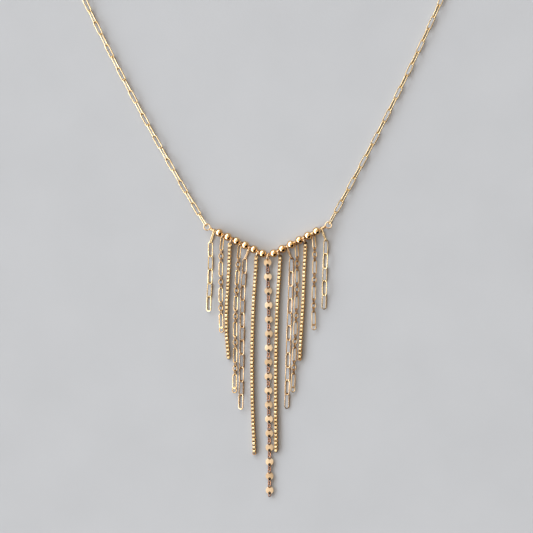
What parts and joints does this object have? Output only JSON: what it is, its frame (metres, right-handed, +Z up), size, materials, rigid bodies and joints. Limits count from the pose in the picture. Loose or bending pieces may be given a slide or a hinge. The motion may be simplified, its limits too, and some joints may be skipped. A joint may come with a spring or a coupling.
{
  "type": "fringe necklace",
  "caption": "Thin gold-coloured paperclip-link neck chain with a V-shaped bar of round beads and a fringe of paperclip, box, long-and-short and coin chains, laid flat.",
  "frame": {"origin": "on the surface that the necklace lies on, at the middle of the opening for the neck", "axes": "+Z up from the surface, +Y towards the clasp, +X to the right as seen from above"},
  "size_m": [0.1429, 0.2512, 0.0031],
  "materials": {
    "polished_bead": "polished",
    "chain": "polished",
    "box_chain": "polished",
    "coin": "polished",
    "wire": "polished"
  },
  "bodies": {
    "root": {"bar_wire": "wire", "bead_01": "polished_bead", "bead_02": "polished_bead", "bead_03": "polished_bead", "bead_04": "polished_bead", "bead_05": "polished_bead", "bead_06": "polished_bead", "bead_07": "polished_bead", "bead_08": "polished_bead", "bead_09": "polished_bead", "bead_10": "polished_bead", "bead_11": "polished_bead", "bead_12": "polished_bead", "strand_01": "chain", "strand_02": "chain", "strand_03": "box_chain", "strand_04": "chain", "strand_05": "chain", "strand_06": "box_chain", "strand_07": "coin", "strand_08": "box_chain", "strand_09": "chain", "strand_10": "chain", "strand_11": "box_chain", "strand_12": "chain", "strand_13": "chain", "neck_chain_left": "chain", "neck_chain_right": "chain", "clasp": "wire"}
  },
  "joints": []
}
